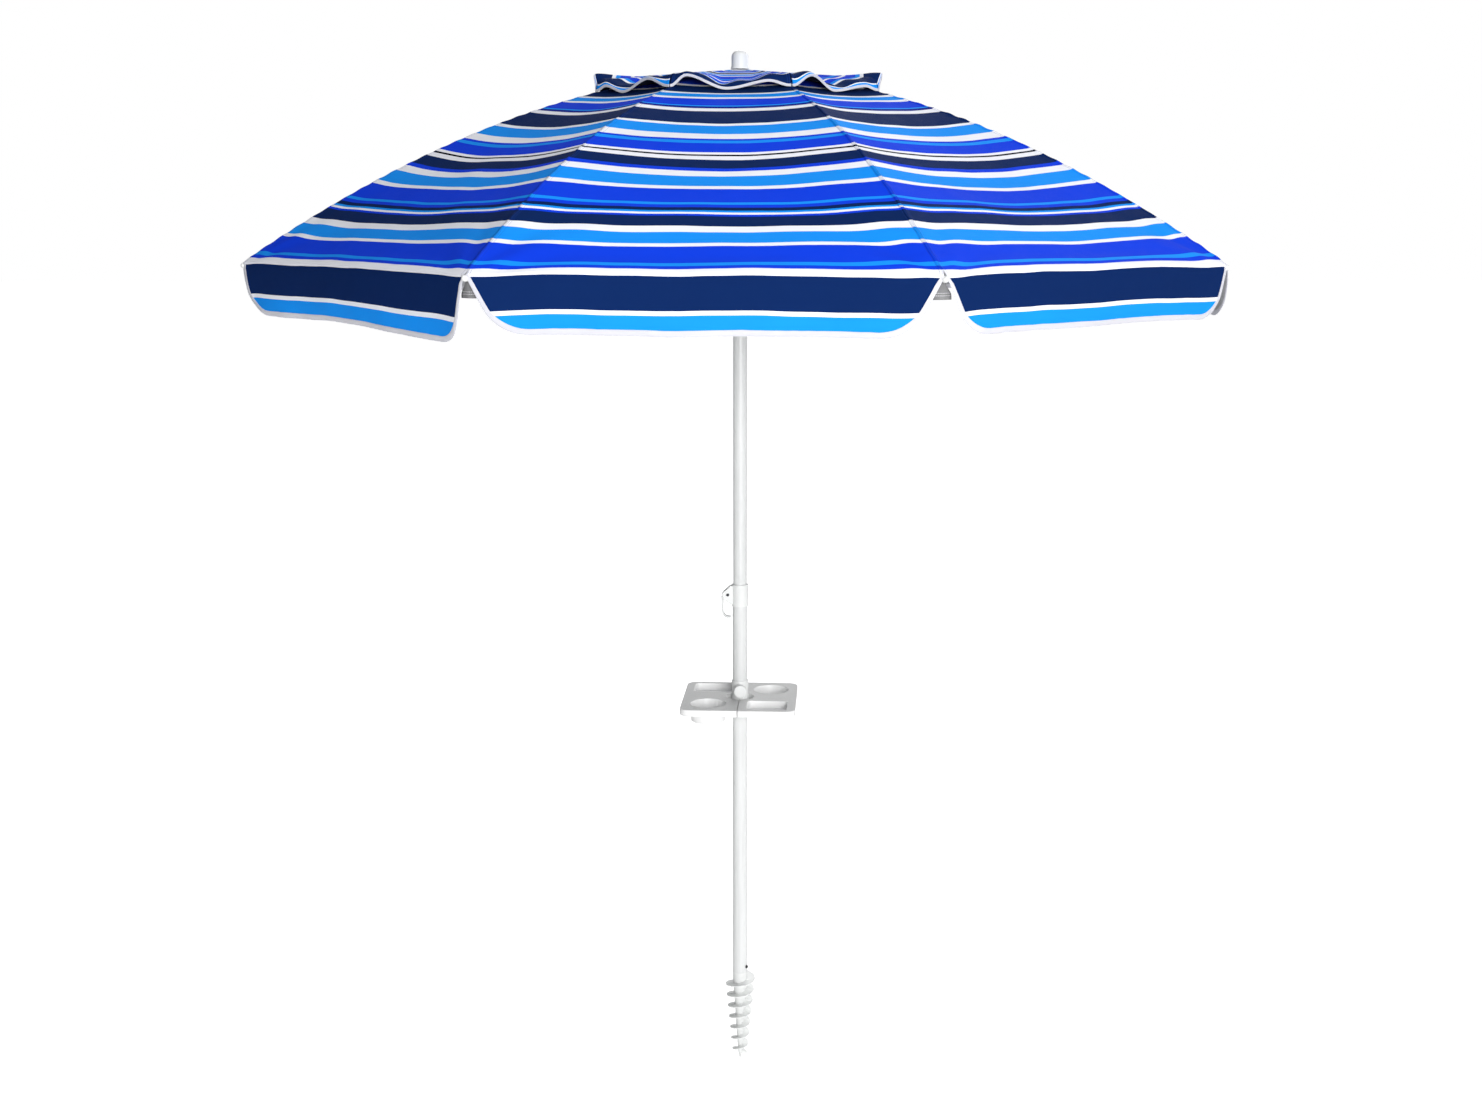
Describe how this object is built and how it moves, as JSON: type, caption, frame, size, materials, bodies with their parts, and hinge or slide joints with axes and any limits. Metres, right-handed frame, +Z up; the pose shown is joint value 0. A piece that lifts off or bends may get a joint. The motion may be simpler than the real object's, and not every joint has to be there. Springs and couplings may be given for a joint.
{
  "type": "beach umbrella",
  "caption": "Striped beach umbrella with a vented canopy, a telescoping pole with a lever clamp, a clamp-on drink tray and a screw-in sand anchor.",
  "frame": {"origin": "tip of the sand anchor, on the pole's axis", "axes": "+Z up the pole; -Y to the front, where the tray's knob is; +X to the right seen from the front"},
  "size_m": [1.9262, 1.9262, 2.2062],
  "materials": {
    "white_plastic": "satin",
    "pole_paint": "satin",
    "glassfibre": "satin",
    "dark_steel": "satin",
    "bright_steel": "satin",
    "striped_canopy": "matte",
    "striped_vent": "matte"
  },
  "bodies": {
    "base": {"sand_anchor": "white_plastic", "anchor_screw": "dark_steel", "lower_pole": "pole_paint", "clamp_collar": "white_plastic", "clamp_pin": "dark_steel"},
    "clamp_lever": {"clamp_lever": "white_plastic"},
    "tray_collar": {"tray_collar": "white_plastic"},
    "tray": {"tray_half_left": "white_plastic", "tray_half_right": "white_plastic"},
    "tray_knob": {"tray_knob": "white_plastic"},
    "mast": {"upper_pole": "pole_paint", "pole_plug": "white_plastic", "crown": "white_plastic", "crown_ring": "bright_steel", "finial": "white_plastic", "catch_spring": "bright_steel"},
    "runner_catch": {"runner_catch": "bright_steel"},
    "runner": {"runner": "white_plastic"},
    "rib_1": {"rib_1": "glassfibre", "rib_tip_1": "white_plastic"},
    "stretcher_1": {"stretcher_1": "glassfibre"},
    "panel_1": {"canopy_panel_1": "striped_canopy", "vent_panel_1": "striped_vent"},
    "rib_2": {"rib_2": "glassfibre", "rib_tip_2": "white_plastic"},
    "stretcher_2": {"stretcher_2": "glassfibre"},
    "panel_2": {"canopy_panel_2": "striped_canopy", "vent_panel_2": "striped_vent"},
    "rib_3": {"rib_3": "glassfibre", "rib_tip_3": "white_plastic"},
    "stretcher_3": {"stretcher_3": "glassfibre"},
    "panel_3": {"canopy_panel_3": "striped_canopy", "vent_panel_3": "striped_vent"},
    "rib_4": {"rib_4": "glassfibre", "rib_tip_4": "white_plastic"},
    "stretcher_4": {"stretcher_4": "glassfibre"},
    "panel_4": {"canopy_panel_4": "striped_canopy", "vent_panel_4": "striped_vent"},
    "rib_5": {"rib_5": "glassfibre", "rib_tip_5": "white_plastic"},
    "stretcher_5": {"stretcher_5": "glassfibre"},
    "panel_5": {"canopy_panel_5": "striped_canopy", "vent_panel_5": "striped_vent"},
    "rib_6": {"rib_6": "glassfibre", "rib_tip_6": "white_plastic"},
    "stretcher_6": {"stretcher_6": "glassfibre"},
    "panel_6": {"canopy_panel_6": "striped_canopy", "vent_panel_6": "striped_vent"},
    "rib_7": {"rib_7": "glassfibre", "rib_tip_7": "white_plastic"},
    "stretcher_7": {"stretcher_7": "glassfibre"},
    "panel_7": {"canopy_panel_7": "striped_canopy", "vent_panel_7": "striped_vent"},
    "rib_8": {"rib_8": "glassfibre", "rib_tip_8": "white_plastic"},
    "stretcher_8": {"stretcher_8": "glassfibre"},
    "panel_8": {"canopy_panel_8": "striped_canopy", "vent_panel_8": "striped_vent"}
  },
  "joints": [
    {"name": "pole_extension", "type": "slide", "parent": "base", "child": "mast", "axis": [0, 0, 1], "range_m": [-0.12, 0.15]},
    {"name": "clamp_lever_turn", "type": "hinge", "parent": "base", "child": "clamp_lever", "pos_m": [-0.0266, 0, 1.075], "axis": [0, 1, 0], "range_deg": [0, 120]},
    {"name": "canopy_fold", "type": "slide", "parent": "mast", "child": "runner", "axis": [0, 0, -1], "range_m": [0, 0.58907]},
    {"name": "runner_catch_press", "type": "slide", "parent": "mast", "child": "runner_catch", "axis": [0, 1, 0], "range_m": [0, 0.005], "stiffness_N_per_m": 400, "springref_m": -0.002, "deforming": ["catch_spring", "runner_catch"]},
    {"name": "tray_slide", "type": "slide", "parent": "base", "child": "tray_collar", "axis": [0, 0, 1], "range_m": [-0.45, 0.13]},
    {"name": "tray_turn", "type": "hinge", "parent": "tray_collar", "child": "tray", "pos_m": [0, 0, 0.84], "axis": [0, 0, 1], "range_deg": [-180, 180]},
    {"name": "tray_knob_turn", "type": "hinge", "parent": "tray_collar", "child": "tray_knob", "pos_m": [0, -0.04, 0.868], "axis": [0, -1, 0], "range_deg": [0, 360]},
    {"name": "rib_1_swing", "type": "hinge", "parent": "mast", "child": "rib_1", "pos_m": [0.00703, -0.02137, 2.15385], "axis": [0.95, 0.3123, 0], "range_deg": [0, 64.6]},
    {"name": "stretcher_1_swing", "type": "hinge", "parent": "rib_1", "child": "stretcher_1", "pos_m": [0.14055, -0.42749, 2.05518], "axis": [-0.95, -0.3123, 0], "range_deg": [0, 118]},
    {"name": "panel_1_pleat", "type": "hinge", "parent": "rib_1", "child": "panel_1", "pos_m": [0, 0, 2.13966], "axis": [-0.5634, 0.655, -0.5036], "range_deg": [0, 47.2], "deforming": ["canopy_panel_1", "vent_panel_1"]},
    {"name": "rib_2_swing", "type": "hinge", "parent": "mast", "child": "rib_2", "pos_m": [0.02008, -0.01014, 2.15385], "axis": [0.4509, 0.8926, 0], "range_deg": [0, 64.6]},
    {"name": "stretcher_2_swing", "type": "hinge", "parent": "rib_2", "child": "stretcher_2", "pos_m": [0.40166, -0.20289, 2.05518], "axis": [-0.4509, -0.8926, 0], "range_deg": [0, 118]},
    {"name": "panel_2_pleat", "type": "hinge", "parent": "rib_2", "child": "panel_2", "pos_m": [0, 0, 2.13966], "axis": [-0.8615, 0.0648, -0.5036], "range_deg": [0, 47.2], "deforming": ["canopy_panel_2", "vent_panel_2"]},
    {"name": "rib_3_swing", "type": "hinge", "parent": "mast", "child": "rib_3", "pos_m": [0.02137, 0.00703, 2.15385], "axis": [-0.3123, 0.95, 0], "range_deg": [0, 64.6]},
    {"name": "stretcher_3_swing", "type": "hinge", "parent": "rib_3", "child": "stretcher_3", "pos_m": [0.42749, 0.14055, 2.05518], "axis": [0.3123, -0.95, 0], "range_deg": [0, 118]},
    {"name": "panel_3_pleat", "type": "hinge", "parent": "rib_3", "child": "panel_3", "pos_m": [0, 0, 2.13966], "axis": [-0.655, -0.5634, -0.5036], "range_deg": [0, 47.2], "deforming": ["canopy_panel_3", "vent_panel_3"]},
    {"name": "rib_4_swing", "type": "hinge", "parent": "mast", "child": "rib_4", "pos_m": [0.01014, 0.02008, 2.15385], "axis": [-0.8926, 0.4509, 0], "range_deg": [0, 64.6]},
    {"name": "stretcher_4_swing", "type": "hinge", "parent": "rib_4", "child": "stretcher_4", "pos_m": [0.20289, 0.40166, 2.05518], "axis": [0.8926, -0.4509, 0], "range_deg": [0, 118]},
    {"name": "panel_4_pleat", "type": "hinge", "parent": "rib_4", "child": "panel_4", "pos_m": [0, 0, 2.13966], "axis": [-0.0648, -0.8615, -0.5036], "range_deg": [0, 47.2], "deforming": ["canopy_panel_4", "vent_panel_4"]},
    {"name": "rib_5_swing", "type": "hinge", "parent": "mast", "child": "rib_5", "pos_m": [-0.00703, 0.02137, 2.15385], "axis": [-0.95, -0.3123, 0], "range_deg": [0, 64.6]},
    {"name": "stretcher_5_swing", "type": "hinge", "parent": "rib_5", "child": "stretcher_5", "pos_m": [-0.14055, 0.42749, 2.05518], "axis": [0.95, 0.3123, 0], "range_deg": [0, 118]},
    {"name": "panel_5_pleat", "type": "hinge", "parent": "rib_5", "child": "panel_5", "pos_m": [0, 0, 2.13966], "axis": [0.5634, -0.655, -0.5036], "range_deg": [0, 47.2], "deforming": ["canopy_panel_5", "vent_panel_5"]},
    {"name": "rib_6_swing", "type": "hinge", "parent": "mast", "child": "rib_6", "pos_m": [-0.02008, 0.01014, 2.15385], "axis": [-0.4509, -0.8926, 0], "range_deg": [0, 64.6]},
    {"name": "stretcher_6_swing", "type": "hinge", "parent": "rib_6", "child": "stretcher_6", "pos_m": [-0.40166, 0.20289, 2.05518], "axis": [0.4509, 0.8926, 0], "range_deg": [0, 118]},
    {"name": "panel_6_pleat", "type": "hinge", "parent": "rib_6", "child": "panel_6", "pos_m": [0, 0, 2.13966], "axis": [0.8615, -0.0648, -0.5036], "range_deg": [0, 47.2], "deforming": ["canopy_panel_6", "vent_panel_6"]},
    {"name": "rib_7_swing", "type": "hinge", "parent": "mast", "child": "rib_7", "pos_m": [-0.02137, -0.00703, 2.15385], "axis": [0.3123, -0.95, 0], "range_deg": [0, 64.6]},
    {"name": "stretcher_7_swing", "type": "hinge", "parent": "rib_7", "child": "stretcher_7", "pos_m": [-0.42749, -0.14055, 2.05518], "axis": [-0.3123, 0.95, 0], "range_deg": [0, 118]},
    {"name": "panel_7_pleat", "type": "hinge", "parent": "rib_7", "child": "panel_7", "pos_m": [0, 0, 2.13966], "axis": [0.655, 0.5634, -0.5036], "range_deg": [0, 47.2], "deforming": ["canopy_panel_7", "vent_panel_7"]},
    {"name": "rib_8_swing", "type": "hinge", "parent": "mast", "child": "rib_8", "pos_m": [-0.01014, -0.02008, 2.15385], "axis": [0.8926, -0.4509, 0], "range_deg": [0, 64.6]},
    {"name": "stretcher_8_swing", "type": "hinge", "parent": "rib_8", "child": "stretcher_8", "pos_m": [-0.20289, -0.40166, 2.05518], "axis": [-0.8926, 0.4509, 0], "range_deg": [0, 118]},
    {"name": "panel_8_pleat", "type": "hinge", "parent": "rib_8", "child": "panel_8", "pos_m": [0, 0, 2.13966], "axis": [0.0648, 0.8615, -0.5036], "range_deg": [0, 47.2], "deforming": ["canopy_panel_8", "vent_panel_8"]}
  ],
  "couplings": [
    {"joint": "rib_1_swing", "follows": "canopy_fold", "rad_per_m": 1.911},
    {"joint": "stretcher_1_swing", "follows": "canopy_fold", "rad_per_m": 3.4913},
    {"joint": "panel_1_pleat", "follows": "canopy_fold", "rad_per_m": 1.3965},
    {"joint": "rib_2_swing", "follows": "canopy_fold", "rad_per_m": 1.911},
    {"joint": "stretcher_2_swing", "follows": "canopy_fold", "rad_per_m": 3.4913},
    {"joint": "panel_2_pleat", "follows": "canopy_fold", "rad_per_m": 1.3965},
    {"joint": "rib_3_swing", "follows": "canopy_fold", "rad_per_m": 1.911},
    {"joint": "stretcher_3_swing", "follows": "canopy_fold", "rad_per_m": 3.4913},
    {"joint": "panel_3_pleat", "follows": "canopy_fold", "rad_per_m": 1.3965},
    {"joint": "rib_4_swing", "follows": "canopy_fold", "rad_per_m": 1.911},
    {"joint": "stretcher_4_swing", "follows": "canopy_fold", "rad_per_m": 3.4913},
    {"joint": "panel_4_pleat", "follows": "canopy_fold", "rad_per_m": 1.3965},
    {"joint": "rib_5_swing", "follows": "canopy_fold", "rad_per_m": 1.911},
    {"joint": "stretcher_5_swing", "follows": "canopy_fold", "rad_per_m": 3.4913},
    {"joint": "panel_5_pleat", "follows": "canopy_fold", "rad_per_m": 1.3965},
    {"joint": "rib_6_swing", "follows": "canopy_fold", "rad_per_m": 1.911},
    {"joint": "stretcher_6_swing", "follows": "canopy_fold", "rad_per_m": 3.4913},
    {"joint": "panel_6_pleat", "follows": "canopy_fold", "rad_per_m": 1.3965},
    {"joint": "rib_7_swing", "follows": "canopy_fold", "rad_per_m": 1.911},
    {"joint": "stretcher_7_swing", "follows": "canopy_fold", "rad_per_m": 3.4913},
    {"joint": "panel_7_pleat", "follows": "canopy_fold", "rad_per_m": 1.3965},
    {"joint": "rib_8_swing", "follows": "canopy_fold", "rad_per_m": 1.911},
    {"joint": "stretcher_8_swing", "follows": "canopy_fold", "rad_per_m": 3.4913},
    {"joint": "panel_8_pleat", "follows": "canopy_fold", "rad_per_m": 1.3965}
  ]
}
